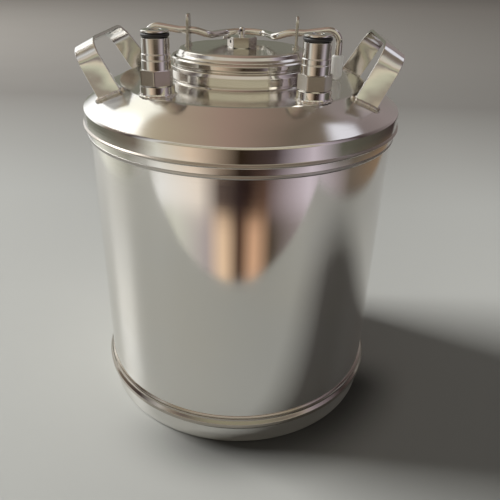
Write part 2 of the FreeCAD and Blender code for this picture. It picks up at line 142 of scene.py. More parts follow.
def closed_outline(stations, step=9.0):
    """Closed loop; the first station stays sharp."""
    return round_path(stations + [stations[0]], step)[:-1]


def subdivide_runs(path, longest):
    """Adds points to a closed loop so that no straight run is longer than longest."""
    out = []
    for a, b in zip(path, path[1:] + path[:1]):
        out.append(a)
        extra = int(math.hypot(b[0] - a[0], b[1] - a[1]) // longest)
        out += [between(a, b, j / (extra + 1)) for j in range(1, extra + 1)]
    return out


# ---------------------------------------------------------------- mesh helpers
def bridge(a, b):
    """Faces between two closed rows of vertex indices; a row of one is a pole."""
    if len(a) == 1 and len(b) == 1:
        return []
    count = max(len(a), len(b))
    faces = []
    for k in range(count):
        following = (k + 1) % count
        if len(a) == 1:
            faces.append((a[0], b[following], b[k]))
        elif len(b) == 1:
            faces.append((a[k], a[following], b[0]))
        else:
            faces.append((a[k], a[following], b[following], b[k]))
    return faces


def skin(rows, closed=True):
    """Vertices and faces over rows of points; closed joins the last row to the first."""
    verts, index = [], []
    for row in rows:
        index.append(range(len(verts), len(verts) + len(row)))
        verts += row
    pairs = list(zip(index, index[1:]))
    if closed:
        pairs.append((index[-1], index[0]))
    return verts, [face for a, b in pairs for face in bridge(a, b)]


def shade(bm, sharp):
    """Outward normals, smooth faces, and sharp edges where faces meet over sharp degrees."""
    bmesh.ops.recalc_face_normals(bm, faces=bm.faces)
    limit = math.radians(sharp)
    for face in bm.faces:
        face.smooth = True
    for edge in bm.edges:
        edge.smooth = not (len(edge.link_faces) == 2 and edge.calc_face_angle(0.0) > limit)


def new_object(name, data):
    ob = bpy.data.objects.new(name, data)
    bpy.context.scene.collection.objects.link(ob)
    return ob


def weight_normals(ob):
    modifier = ob.modifiers.new("wn", "WEIGHTED_NORMAL")
    modifier.keep_sharp = True
    return ob


def make_object(name, verts, faces, sharp=32.0):
    """Object from vertices in millimetres."""
    mesh = bpy.data.meshes.new(name)
    mesh.from_pydata([(v[0] * MM, v[1] * MM, v[2] * MM) for v in verts], [], faces)
    bm = bmesh.new()
    bm.from_mesh(mesh)
    bmesh.ops.remove_doubles(bm, verts=bm.verts, dist=1e-7)
    shade(bm, sharp)
    bm.to_mesh(mesh)
    bm.free()
    return weight_normals(new_object(name, mesh))


def rings_mesh(name, rings, segs, cx=0.0, cy=0.0, stretch=None, sharp=32.0, turn=0.0):
    """Skins a closed run of rings round a vertical axis.

    A ring is (radius or function of the angle, z[, y scale]); radius 0 makes a pole.
    stretch(x, y, z, angle) gives a factor that moves a point out from the axis.
    """
    rows = []
    for radius, z, *scale in rings:
        y_scale = scale[0] if scale else 1.0
        if not callable(radius) and radius < 1e-5:
            rows.append([(cx, cy, z)])
            continue
        row = []
        for k in range(segs):
            angle = TAU * k / segs + turn
            r = radius(angle) if callable(radius) else radius
            x, y = r * math.cos(angle), r * math.sin(angle) * y_scale
            if stretch:
                factor = stretch(x, y, z, angle)
                x, y = x * factor, y * factor
            row.append((x + cx, y + cy, z))
        rows.append(row)
    return make_object(name, *skin(rows), sharp)


def lathe(name, outline, segs, y_scale=1.0, **options):
    return rings_mesh(name, [(r, z, y_scale) for r, z in outline], segs, **options)


def tube(name, points, radius, sides, swell=lambda along: 1.0):
    """Round tube along 3-D points by parallel transport; ends closed with a fan.

    swell gives a factor on the radius from the place along the tube, 0 to 1.
    """
    points = [Vector(p) for p in points]
    last = len(points) - 1
    tangents = [(points[1] - points[0]).normalized()]
    for a, b, c in zip(points, points[1:], points[2:]):
        tangents.append(((c - b).normalized() + (b - a).normalized()).normalized())
    tangents.append((points[-1] - points[-2]).normalized())
    first = tangents[0]
    ref = Vector((0, 0, 1)) if abs(first.z) < 0.9 else Vector((1, 0, 0))
    u = (ref - first * ref.dot(first)).normalized()
    rows = []
    for i, (point, tangent) in enumerate(zip(points, tangents)):
        u = (u - tangent * u.dot(tangent)).normalized()
        v = tangent.cross(u)
        r = swell(i / last) * radius
        angles = [TAU * k / sides for k in range(sides)]
        rows.append([point + (u * math.cos(a) + v * math.sin(a)) * r for a in angles])
    verts, faces = skin(rows, closed=False)
    count = len(verts)
    faces += bridge(range(sides), [count])
    faces += bridge(range(count - sides, count), [count + 1])
    return make_object(name, verts + [points[0], points[-1]], faces, 40.0)


def bend_wire(stations, step, longest=3.0):
    """3-D line through (x, y, z, bend radius), in parts of about step degrees on the bends."""
    corners = [Vector(s[:3]) for s in stations]
    path = [corners[0]]
    for a, b, c, station in zip(corners, corners[1:], corners[2:], stations[1:]):
        radius = station[3]
        u, w = (a - b).normalized(), (c - b).normalized()
        angle = u.angle(w)
        back = radius / math.tan(angle / 2)
        cen = b + (u + w).normalized() * (radius / math.sin(angle / 2))
        start, end = b + u * back - cen, b + w * back - cen
        sweep = start.angle(end)
        s = math.sin(sweep)
        count = max(3, int(math.ceil(math.degrees(sweep) / step)))
        for j in range(count + 1):
            f = j / count
            weights = math.sin((1 - f) * sweep) / s, math.sin(f * sweep) / s
            path.append(cen + start * weights[0] + end * weights[1])
    path.append(corners[-1])
    out = [path[0]]
    for p in path[1:]:
        base = out[-1].copy()
        length = (p - base).length
        if length < 1e-3:
            continue
        extra = int(length // longest)
        out += [base.lerp(p, j / (extra + 1)) for j in range(1, extra + 1)]
        out.append(p)
    return out


def join(parts, name):
    """Joins parts into one new object and removes them."""
    bm = bmesh.new()
    for part in parts:
        bm.from_mesh(part.data)
    mesh = bpy.data.meshes.new(name)
    bm.to_mesh(mesh)
    bm.free()
    for part in parts:
        bpy.data.objects.remove(part)
    return weight_normals(new_object(name, mesh))


def cut(ob, cutter):
    """Boolean difference, applied."""
    ob.modifiers.clear()
    modifier = ob.modifiers.new("cut", "BOOLEAN")
    modifier.operation = "DIFFERENCE"
    modifier.solver = "EXACT"
    modifier.object = cutter
    depsgraph = bpy.context.evaluated_depsgraph_get()
    depsgraph.update()
    mesh = bpy.data.meshes.new_from_object(ob.evaluated_get(depsgraph))
    ob.modifiers.clear()
    ob.data = mesh
    bm = bmesh.new()
    bm.from_mesh(mesh)
    shade(bm, 30)
    bm.to_mesh(mesh)
    bm.free()
    bpy.data.objects.remove(cutter)
    return weight_normals(ob)


# ---------------------------------------------------------------- shader helpers
class Net:
    """Short calls for building a node tree; every value may be a number or a socket."""

    def __init__(self, tree):
        self.tree = tree
        tree.nodes.clear()

    def node(self, kind, inputs=None, **props):
        node = self.tree.nodes.new("ShaderNode" + kind)
        for key, value in props.items():
            setattr(node, key, value)
        for key, value in (inputs or {}).items():
            if isinstance(value, bpy.types.NodeSocket):
                self.tree.links.new(value, node.inputs[key])
            else:
                node.inputs[key].default_value = value
        return node

    def math(self, operation, *values, clamp=False):
        inputs = dict(enumerate(values))
        return self.node("Math", inputs, operation=operation, use_clamp=clamp).outputs[0]

    def mul(self, product, *factors):
        for factor in factors:
            product = self.math("MULTIPLY", product, factor)
        return product

    def add(self, a, b):
        return self.math("ADD", a, b)

    def vec(self, x, y, z):
        return self.node("CombineXYZ", {0: x, 1: y, 2: z}).outputs[0]

    def split(self, vector):
        return self.node("SeparateXYZ", {0: vector}).outputs

    def object_place(self):
        return self.node("TexCoord").outputs["Object"]

    def noise(self, vector, scale, detail=3.0, roughness=0.5, distortion=0.0):
        return self.node("TexNoise", {
            "Vector": vector, "Scale": scale, "Detail": detail,
            "Roughness": roughness, "Distortion": distortion}).outputs[0]

    def remap(self, value, at, to=(0.0, 1.0), smooth=False):
        """Maps the range at onto the range to, clamped."""
        node = self.node("MapRange", dict(enumerate((value, *at, *to))), clamp=True)
        if smooth:
            node.interpolation_type = "SMOOTHSTEP"
        return node.outputs[0]

    def window(self, value, rise, fall):
        """1 between the ranges rise and fall, 0 outside them."""
        return self.mul(self.remap(value, at=rise, smooth=True),
                        self.remap(value, at=fall, to=(1.0, 0.0), smooth=True))

    def mix(self, factor, a, b):
        """Colour a where the factor is 0, b where it is 1."""
        a, b = ((*c, 1.0) if isinstance(c, tuple) else c for c in (a, b))
        return self.node("Mix", {0: factor, 6: a, 7: b}, data_type="RGBA").outputs[2]

    def ramp(self, factor, stops):
        """Colour ramp through (position, rgb) stops in rising order."""
        node = self.node("ValToRGB", {0: factor})
        elements = node.color_ramp.elements
        elements.remove(elements[0])
        for i, (position, colour) in enumerate(stops):
            if i:
                element = elements.new(position)
            else:
                element = elements[0]
                element.position = position
            element.color = (*colour, 1.0)
        return node.outputs[0]

    def bump(self, height, strength, distance, normal=None):
        inputs = {"Height": height, "Strength": strength, "Distance": distance}
        if normal is not None:
            inputs["Normal"] = normal
        return self.node("Bump", inputs).outputs[0]


def material_net(name):
    mat = bpy.data.materials.new(name)
    mat.use_nodes = True
    return mat, Net(mat.node_tree)


def toned(colour, *gains):
    """Colour times one gain, or times one gain per channel."""
    return tuple(c * k for c, k in zip(colour, gains * 3))


# ---------------------------------------------------------------- steel
def brush_place(net, place, direction, fine, centre):
    """Noise coordinates drawn out along the brush lines; fine packs the lines closer."""
    x, y, z = net.split(place)
    if direction in ("x", "y"):
        along, across = 14.0, 1500.0 * fine
        scale_x, scale_y = (along, across) if direction == "x" else (across, along)
        return net.vec(net.mul(x, scale_x), net.mul(y, scale_y), net.mul(z, across))
    x = net.math("SUBTRACT", x, centre[0])
    y = net.math("SUBTRACT", y, centre[1])
    angle = net.math("ARCTAN2", y, x)
    if direction == "z":
        around, along = 160.0 * fine, 7.0
        return net.vec(net.mul(angle, around), 0.0, net.mul(z, along))
    radius = net.math("SQRT", net.add(net.mul(x, x), net.mul(y, y)))
    along, across = 1.6, 900.0 * fine
    return net.vec(net.mul(angle, along), net.mul(radius, across), net.mul(z, across))


def hairlines(net, place):
    """Hairline scratches in two directions, gathered in patches."""
    lines = None
    long_scale, thin_scale = 22.0, 1500.0
    for rotation, size in (((0.3, 0.5, 0.2), 1.0), ((1.1, -0.4, 0.9), 0.8)):
        scale = (long_scale * size, thin_scale * size, thin_scale * size)
        mapped = net.node("Mapping", {0: place, "Rotation": rotation, "Scale": scale}).outputs[0]
        found = net.remap(net.noise(mapped, scale=1.0, detail=2.0), at=(0.70, 0.76))
        lines = found if lines is None else net.math("MAXIMUM", lines, found)
    patches = net.remap(net.noise(place, scale=17.0, detail=2.0), at=(0.42, 0.62), smooth=True)
    return net.mul(lines, patches)


def heat_tint(net, place):
    """Straw to brown to blue in small patches."""
    return net.ramp(net.noise(place, scale=160.0, roughness=0.6), [
        (0.30, (0.62, 0.60, 0.56)),
        (0.52, (0.60, 0.47, 0.30)),
        (0.75, (0.33, 0.34, 0.42)),
    ])


def steel(name, roughness, scratch, smudge, edge, colour=(0.70, 0.69, 0.665),
          brush=None, brush_rough=0.03, brush_bump=0.02, fine=1.0, centre=(0.0, 0.0),
          wave=0.0, wave_scale=14.0, knee=None, painted_dark_band=None, tint=0.0, aniso=0.0):
    """Stainless steel; lengths in metres.

    scratch, smudge, edge, tint: strength of scratches, smudges, edge wear with darker hollows, and
    heat tint
    brush: direction of the brush lines, "x", "y", "z" or "circ" round the centre
    wave: height of the slow ripple of the sheet
    knee: height below which the metal is glossier
    painted_dark_band: (low z, high z, strength of the painted dark reflection, added roughness)
    """
    mat, net = material_net(name)
    place = net.object_place()
    z = net.split(place)[2]

    rough = net.remap(net.noise(place, scale=9.0, detail=5.0, roughness=0.6), at=(0.3, 0.7),
                      to=(roughness - smudge * 0.5, roughness + smudge * 0.5))
    if knee:
        rough = net.mul(rough, net.remap(z, at=(knee - 0.0005, knee + 0.002), to=(0.55, 1.0)))
    # finger smudges and wiping marks: patches a few centimetres across
    marks = net.noise(place, scale=28.0, detail=4.0, roughness=0.65, distortion=1.2)
    marks = net.remap(marks, at=(0.56, 0.72), smooth=True)
    rough = net.add(rough, net.mul(marks, smudge * 0.6))

    normal = None
    if wave > 0:
        ripple = net.noise(place, scale=wave_scale, detail=1.5, roughness=0.4)
        normal = net.bump(ripple, strength=1.0, distance=wave)
    if brush:
        lines = net.noise(brush_place(net, place, brush, fine, centre),
                          scale=1.0, detail=4.0, roughness=0.6)
        rough = net.add(rough, net.remap(lines, at=(0.25, 0.75), to=(-brush_rough, brush_rough)))
        normal = net.bump(lines, strength=brush_bump, distance=0.0002, normal=normal)
    scratches = hairlines(net, place)
    rough = net.math("ADD", rough, net.mul(scratches, 0.16 * scratch), clamp=True)
    normal = net.bump(scratches, strength=0.25 * scratch, distance=0.00005, normal=normal)

    # slow warm and cool drift of the sheet, darker in the scratches
    drift = net.remap(net.noise(place, scale=6.0), at=(0.35, 0.65), smooth=True)
    col = net.mix(drift, toned(colour, 1.015, 1.0, 0.975), toned(colour, 0.985, 0.99, 1.0))
    col = net.mix(net.mul(scratches, 0.12), col, toned(colour, 0.6))
    # painted reflection: a band coloured dark brown for the dark surroundings the metal mirrors
    # there, and made rougher
    if painted_dark_band:
        low, high, darkening, added_rough = painted_dark_band
        fade = 0.0002
        inside = net.window(z, rise=(low, low + fade), fall=(high - fade, high))
        col = net.mix(net.mul(inside, darkening), col, toned(colour, 0.50, 0.445, 0.385))
        rough = net.add(rough, net.mul(inside, added_rough))
    if edge > 0:
        # bright on convex edges, darker in the hollows
        convex = net.node("NewGeometry").outputs["Pointiness"]
        worn = net.remap(convex, at=(0.52, 0.60), to=(0.0, edge))
        col = net.mix(worn, col, toned(colour, 1.12))
        hollow_darkening = net.remap(convex, at=(0.47, 0.42), to=(0.0, 0.5 * edge))
        col = net.mix(hollow_darkening, col, toned(colour, 0.45))
    if tint > 0:
        col = net.mix(tint, col, heat_tint(net, place))

    inputs = {"Base Color": col, "Metallic": 1.0, "Roughness": rough, "Normal": normal}
    if aniso > 0:
        inputs["Anisotropic"] = aniso
        inputs["Anisotropic Rotation"] = 0.25
        inputs["Tangent"] = net.node("Tangent", direction_type="RADIAL", axis="Z").outputs[0]
    net.node("OutputMaterial", {0: net.node("BsdfPrincipled", inputs).outputs[0]})
    return mat


# ---------------------------------------------------------------- rubber and plastic
def rubber(name):
    """Black rubber, dusty in patches and paler on its edges."""
    mat, net = material_net(name)
    place = net.object_place()
    grain = net.noise(place, scale=900.0, detail=4.0, roughness=0.6)
    patches = net.noise(place, scale=120.0)
    dust = net.remap(patches, at=(0.45, 0.75), to=(0.0, 0.5))
    col = net.mix(dust, (0.012, 0.012, 0.013), (0.045, 0.044, 0.042))
    convex = net.node("NewGeometry").outputs["Pointiness"]
    col = net.mix(net.remap(convex, at=(0.5, 0.6), to=(0.0, 0.25)), col, (0.07, 0.07, 0.068))
    roughness = 0.42
    shader = net.node("BsdfPrincipled", {
        "Base Color": col,
        "Roughness": net.remap(patches, at=(0.3, 0.7), to=(roughness - 0.1, roughness + 0.12)),
        "Normal": net.bump(grain, strength=0.15, distance=0.0001),
        "Specular IOR Level": 0.55,
    })
    net.node("OutputMaterial", {0: shader.outputs[0]})
    return mat


def milky(name):
    """Milky plastic, darker towards the bottom where it nears the shoulder, with a painted glow.
    """
    mat, net = material_net(name)
    place = net.object_place()
    grain = net.noise(place, scale=700.0, detail=4.0, roughness=0.6)
    patches = net.noise(place, scale=90.0)
    z = net.split(place)[2]
    col = net.mix(net.remap(patches, at=(0.4, 0.7), to=(0.0, 0.6)),
                  (0.88, 0.87, 0.83), (0.76, 0.75, 0.70))
    # darker towards the bottom, where the cap nears the shoulder
    bottom_darkening = net.mul(net.remap(z, at=(0.2545, 0.2500), to=(0.0, 0.6)),
                    net.remap(patches, at=(0.35, 0.6), to=(0.2, 1.0)))
    col = net.mix(bottom_darkening, col, (0.36, 0.35, 0.32))
    shader = net.node("BsdfPrincipled", {
        "Base Color": col,
        "Roughness": net.remap(patches, at=(0.3, 0.7), to=(0.32, 0.5)),
        "Normal": net.bump(grain, strength=0.12, distance=0.0001),
        "Subsurface Weight": 0.35,
        "Subsurface Radius": (0.003, 0.003, 0.0026),
        # painted glow: a faint emission lightens the cap's shaded front, standing in for light
        # through the plastic
        "Emission Color": (0.95, 0.93, 0.88, 1.0),
        "Emission Strength": 0.13,
    })
    net.node("OutputMaterial", {0: shader.outputs[0]})
    return mat


# ---------------------------------------------------------------- finishes
TURNED = dict(brush="circ", brush_bump=0.03, fine=2.2, scratch=0.4, smudge=0.05, edge=0.3)
HEX_LOW, HEX_HIGH = (Z_BOSS + 0.3) * MM, (Z_HEX - 0.3) * MM

# The dark bands on the dome's rolled band, the foot's upper bulge and bead, the posts' hexagons
# and the valve's hexagon are painted reflection.
FINISHES = {
    "body": dict(roughness=0.085, aniso=0.5, brush="circ", brush_rough=0.015, brush_bump=0.008,
                 wave=0.0007, wave_scale=9.0, scratch=0.35, smudge=0.035, edge=0.0),
    "dome": dict(roughness=0.14, knee=0.2335, painted_dark_band=(0.2212, 0.2243, 0.75, 0.26), aniso=0.6,
                 brush="circ", brush_rough=0.02, brush_bump=0.01, wave=0.0006, wave_scale=16.0,
                 scratch=0.4, smudge=0.06, edge=0.15),
    "foot": dict(roughness=0.09, painted_dark_band=(0.0180, 0.0275, 0.75, 0.0), brush="circ",
                 wave=0.0004, scratch=0.6, smudge=0.08, edge=0.25),
    "neck": dict(colour=(0.66, 0.645, 0.61), roughness=0.11, brush="circ", brush_rough=0.02,
                 brush_bump=0.012, wave=0.0006, wave_scale=34.0,
                 scratch=0.4, smudge=0.05, edge=0.2),
    "lid": dict(colour=(0.66, 0.65, 0.62), roughness=0.125, brush="circ", brush_bump=0.015,
                wave=0.0005, wave_scale=32.0, scratch=0.7, smudge=0.08, edge=0.2),
    "strap": dict(roughness=0.10, brush="y", brush_bump=0.015, fine=0.6,
                  wave=0.0008, wave_scale=52.0, scratch=0.5, smudge=0.07, edge=0.3),
    "turned_left": dict(TURNED, roughness=0.10, centre=(-POST_X * MM, POST_Y * MM),
                        painted_dark_band=(HEX_LOW, HEX_HIGH, 1.0, 0.10)),
    "turned_right": dict(TURNED, roughness=0.10, centre=(POST_X * MM, POST_Y * MM),
                         painted_dark_band=(HEX_LOW, HEX_HIGH, 0.1, 0.20)),
    "turned_mid": dict(TURNED, roughness=0.13,
                       painted_dark_band=((Z_LID_TOP + 0.3) * MM, 277.5 * MM, 0.65, 0.10)),
    "wire": dict(roughness=0.12, brush="x", scratch=0.5, smudge=0.06, edge=0.2),
    "ear": dict(colour=(0.50, 0.49, 0.46), roughness=0.26, brush="z", brush_rough=0.04,
                brush_bump=0.03, scratch=0.7, smudge=0.08, edge=0.35),
    "bead": dict(colour=(0.47, 0.46, 0.44), roughness=0.36, brush="circ",
                 wave=0.0004, scratch=0.6, smudge=0.08, edge=0.25),
    "weld": dict(colour=(0.56, 0.55, 0.53), roughness=0.25, tint=0.22,
                 wave=0.0005, wave_scale=260.0, scratch=0.3, smudge=0.10, edge=0.35),
    "inner": dict(colour=(0.60, 0.59, 0.57), roughness=0.32, brush="circ", brush_rough=0.05,
                  brush_bump=0.04, scratch=0.5, smudge=0.1, edge=0.1),
    "tube": dict(colour=(0.64, 0.63, 0.61), roughness=0.2, brush="z", brush_rough=0.04,
                 scratch=0.4, smudge=0.08, edge=0.1),
    "spring": dict(colour=(0.52, 0.51, 0.50), roughness=0.28,
                   scratch=0.3, smudge=0.08, edge=0.2),
}
MATERIALS = {key: steel("steel_" + key, **finish) for key, finish in FINISHES.items()}
MATERIALS["rubber"] = rubber("seal_rubber")
MATERIALS["cap"] = milky("milky_cap")


def put(ob, finish, body):
    """Gives a piece its finish and moving body, in place of the CAD node of its name."""
    ob.data.materials.clear()
    ob.data.materials.append(MATERIALS[finish])
    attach(ob, body)
    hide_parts(ob.name.removeprefix("visual_"))


# ---------------------------------------------------------------- vessel
def shell_stretch(x, y, z, angle):
    """The rolled sheet is never quite round: long shallow waves on its outer face."""
    r = math.hypot(x, y)
    if r < R_BODY - 0.4:
        return 1.0
    # the waves fade out at the welded ends
    fade = min(1.0, max(0.0, (z - 30.0) / 25.0), max(0.0, (212.0 - z) / 25.0))
    c, s = math.cos(angle), math.sin(angle)
    wave = noise.noise(Vector((c * 1.7, s * 1.7, z * 0.012))) * 0.16
    wave += noise.noise(Vector((c * 4.5 + 9, s * 4.5, z * 0.03))) * 0.05
    return (r + wave * fade) / r


outline = closed_outline([(R_SHELL_IN, 19.0), (R_BODY, 19.0, 0.15),
                          (R_BODY, 228.0, 0.3), (R_SHELL_IN, 228.0, 0.3)])
put(lathe("visual_body_shell", subdivide_runs(outline, 4.0), 360, stretch=shell_stretch),
    "body", "vessel")


def oval(half_width):
    """Radius of the oval by angle."""
    half_depth = half_width * OVAL

    def radius(angle):
        return half_width * half_depth / math.hypot(half_depth * math.cos(angle),
                                                    half_width * math.sin(angle))
    return radius


# top dome: skirt, rolled bead, knee, shoulder, flat; the hole in the flat is oval
dome_stations = [
    (R_SKIRT, 217.0), (R_SKIRT, 221.2, 0.5), (113.9, 222.5, 0.4), (113.9, 223.1, 0.4),
    (R_SHOULDER, 224.2, 0.6), (R_SHOULDER, Z_KNEE + 0.2, 3.0), (101.5, 242.9, 60.0),
    (R_CREST - 1.0, Z_FLAT, 6.0), (R_FLAT_IN, Z_FLAT),
]
dome_outer = round_path(dome_stations, 6.0)
mouth = [
    (oval(A_BORE + 4.0), Z_FLAT), (oval(A_BORE + 0.25), Z_FLAT), (oval(A_BORE), Z_FLAT - 0.25),
    (oval(A_BORE), Z_FLAT - T_END + 0.2), (oval(A_BORE + 0.2), Z_FLAT - T_END),
]
put(rings_mesh("visual_top_dome", dome_outer + mouth + inner_face(dome_stations, T_END, 6.0), 360),
    "dome", "vessel")

bead = closed_outline([
    (R_BODY - 0.05, 214.2), (R_BODY + 1.0, 214.2, 0.6), (R_BODY + 1.75, 215.2, 0.8),
    (R_BODY + 1.75, 216.6, 0.6), (R_BODY + 1.2, 217.05, 0.3), (R_BODY - 0.05, 217.05, 0.0)])
put(lathe("visual_top_seam_bead", bead, 360), "bead", "vessel")

bead = closed_outline([
    (R_BODY - 0.05, 25.15), (R_BODY + 1.1, 25.15, 0.3), (R_BODY + 1.0, 26.2, 0.5),
    (R_BODY + 0.3, 27.0, 0.3), (R_BODY - 0.05, 27.1, 0.0)])
put(lathe("visual_bottom_seam_bead", bead, 360), "foot", "vessel")

foot = sheet_outline([
    (105.2, 0.0), (109.7, 0.0, 2.0), (110.6, 9.0, 20.0), (110.9, 15.5, 1.6),
    (113.3, 18.3, 1.5), (113.3, 21.2, 1.5), (R_SKIRT, 23.6, 1.2), (R_SKIRT, 25.2)], T_END, 7.0)
put(lathe("visual_foot_ring", foot, 360), "foot", "vessel")

bottom = sheet_outline([
    (0.0, 4.0), (34.0, 4.0, 300.0), (72.0, 7.0, 200.0), (102.0, 13.2, 14.0),
    (R_SHELL_IN - 0.05, 21.0, 6.0), (R_SHELL_IN - 0.05, 34.0)], T_END, 4.0)
put(lathe("visual_bottom_dome", bottom, 240), "inner", "vessel")

collar = closed_outline([
    (A_BORE, 250.02), (A_BAND + 0.75, 250.02, 0.0), (A_BAND + 0.1, 250.8, 0.5),
    (A_BAND + 0.35, 252.2, 0.8), (A_BAND + 0.35, 257.2, 1.5), (A_BAND - 0.9, 259.5, 1.4),
    (49.2, 260.2, 0.4), (49.2, 261.2, 0.4), (50.1, 262.0, 0.4), (50.1, 264.6, 0.8),
    (49.0, Z_LIP_TOP, 0.8), (48.1, Z_LIP_TOP, 0.5), (A_OPENING, 264.6, 0.4),
    (A_OPENING, Z_LIP_LOW, 0.5), (A_BORE, Z_LIP_LOW, 0.0)], 7.0)
put(lathe("visual_neck_collar", collar, 300, OVAL), "neck", "vessel")


# ---------------------------------------------------------------- posts and their bosses
def hexagon(across_flats, turn, cap):
    """Radius of a hexagon by angle, its corners turned down to cap."""
    def radius(angle):
        a = (angle - math.radians(turn)) % (math.pi / 3) - math.pi / 6
        r = (across_flats / 2) / math.cos(a)
        return min(r, across_flats / math.sqrt(3) - 0.12, cap)
    return radius


def hex_levels(across_flats, low, high, turn):
    """Outer rings of a hexagon with turned chamfers at both ends."""
    chamfer = 0.55
    flat, corner = across_flats / 2, across_flats / math.sqrt(3)
    steps = [k / 8 for k in range(9)]
    levels = [(f, low + chamfer * f) for f in steps]
    levels += [(f, high - chamfer * f) for f in reversed(steps)]
    return [(hexagon(across_flats, turn, flat + 0.15 + (corner - flat - 0.1) * f), z)
            for f, z in levels]


def build_post(name, side, hex_turn, finish):
    """Hexagon below, turned stem with an O-ring groove above, bored from the top."""
    rings = [(7.45, Z_BOSS + 0.22), (7.65, Z_BOSS + 0.02)]
    rings += hex_levels(18.6, Z_BOSS + 0.02, Z_HEX, hex_turn)
    rings += round_path([
        (9.3, Z_HEX), (9.2, Z_HEX + 0.1, 0.05), (9.2, 270.9, 0.3), (8.8, 271.2, 0.12),
        (8.8, 271.6, 0.12), (9.05, 271.9, 0.15), (9.05, Z_POST_NECK, 0.3), (R_POST, 275.0, 0.3),
        (R_POST, 283.9, 0.15), (6.3, 283.9, 0.15), (6.3, 287.1, 0.15), (R_POST, 287.1, 0.15),
        (R_POST, 288.0, 0.2), (8.1, Z_POST_TOP, 0.3), (3.9, Z_POST_TOP)], 15.0)[:-1]
    rings += [(4.15, Z_POST_TOP), (3.9, Z_POST_TOP - 0.25), (3.9, 284.6), (6.2, 282.6),
              (6.2, 264.6), (7.45, 264.6)]
    put(rings_mesh(name, rings, 144, cx=side * POST_X, cy=POST_Y, sharp=24.0,
                   turn=math.radians(hex_turn)), finish, "vessel")


build_post("visual_gas_post", -1, 32.0, "turned_left")
build_post("visual_liquid_post", 1, 2.0, "turned_right")


def build_boss(name, side, finish):
    """Round boss welded into the dome, with a spigot up inside the post."""
    profile = round_path([
        (5.2, 246.5), (8.0, 246.5, 0.3), (8.0, 249.4, 0.2), (12.3, 249.6, 0.1),
        (12.3, 250.12, 0.25), (11.3, 250.7, 0.5), (11.0, 251.6, 0.6), (11.0, Z_BOSS - 0.1, 0.1),
        (10.7, Z_BOSS, 0.15), (7.4, Z_BOSS, 0.2), (7.4, 263.2, 0.3), (5.2, 263.2)], 12.0)

    def uneven_fillet(x, y, z, angle):
        if math.hypot(x, y) > 11.02 and z < 251.5:
            lumps = noise.noise(Vector((x * 0.4, y * 0.4, side)))
            return 1 + 0.018 * math.sin(angle * 23 + side) + 0.02 * lumps
        return 1.0
    put(lathe(name, profile, 120, cx=side * POST_X, cy=POST_Y, stretch=uneven_fillet),
        finish, "vessel")


build_boss("visual_gas_port_boss", -1, "turned_left")
build_boss("visual_liquid_port_boss", 1, "turned_right")

# O-rings: radius of the ring, of its section, and height
R_ORING, R_ORING_SECTION, Z_ORING = 7.60, 1.25, 285.5
oring_angles = [TAU * k / 24 for k in range(24)]
oring = [(R_ORING + R_ORING_SECTION * math.cos(a), Z_ORING + R_ORING_SECTION * math.sin(a))
         for a in oring_angles]
for side, name in ((-1, "visual_gas_post_oring"), (1, "visual_liquid_post_oring")):
    put(lathe(name, oring, 96, cx=side * POST_X, cy=POST_Y), "rubber", "vessel")

# ---------------------------------------------------------------- strap handles
T_STRAP = 2.0
STRAP_ROUNDING = 0.55
Z_LEG_END = -5.0                         # the legs run on this far below their base
# The strap's two edges are arches, nearer to and further from the keg's axis.
# z: height of the base; base, top: widths in y; rise: height; bend: corner radius
NEAR_ARCH = dict(z=248.0, base=101.0, top=81.0, rise=38.0, bend=16.5)
FAR_ARCH = dict(z=241.7, base=98.0, top=85.5, rise=35.6, bend=14.5)
# x: distance of the base from the axis; lean: degrees outwards; by side
HANDLES = {
    1: (dict(NEAR_ARCH, x=75.7, lean=28.4), dict(FAR_ARCH, x=90.7, lean=27.0)),
    -1: (dict(NEAR_ARCH, x=75.0, lean=33.6), dict(FAR_ARCH, x=91.0, lean=29.6)),
}


def arch_points(arch, leg_parts=14, arc_parts=12, top_parts=16):
    """Points of one strap edge: leg, corner, top, corner, leg."""
    half_base, half_top = arch["base"] / 2, arch["top"] / 2
    rise, bend = arch["rise"], arch["bend"]
    grow = (arch["base"] - arch["top"]) / 2 * (-Z_LEG_END / rise)
    start, end = (half_base + grow, Z_LEG_END), (-half_base - grow, Z_LEG_END)
    peak_1, peak_2 = (half_top, rise), (-half_top, rise)
    arc_1 = corner_arc(start, peak_1, peak_2, bend, count=arc_parts)
    arc_2 = corner_arc(peak_1, peak_2, end, bend, count=arc_parts)
    points = [between(start, arc_1[0], k / leg_parts) for k in range(leg_parts)]
    points += arc_1
    points += [between(arc_1[-1], arc_2[0], k / top_parts) for k in range(1, top_parts)]
    points += arc_2
    points += [between(arc_2[-1], end, k / leg_parts) for k in range(1, leg_parts + 1)]
    lean = math.radians(arch["lean"])
    return [Vector((arch["x"] + h * math.sin(lean), y, arch["z"] + h * math.cos(lean)))
            for y, h in points]


def strap_section(width):
    """Rounded rectangle: (across, depth) points, across 0 to width, depth 0 to T_STRAP."""
    r = STRAP_ROUNDING
    rounded = []
    for cen_u, cen_d, start in ((width - r, r, -90), (width - r, T_STRAP - r, 0),
                                (r, T_STRAP - r, 90), (r, r, 180)):
        for k in range(5):
            a = math.radians(start + 90 * k / 4)
            rounded.append((cen_u + r * math.cos(a), cen_d + r * math.sin(a)))
    # extra points across the broad faces keep the reflection smooth
    section = []
    for p, q in zip(rounded, rounded[1:] + rounded[:1]):
        section.append(p)
        if abs(q[0] - p[0]) > 3:
            section += [(p[0] + (q[0] - p[0]) * j / 6, p[1] + (q[1] - p[1]) * j / 6)
                        for j in range(1, 6)]
    return section


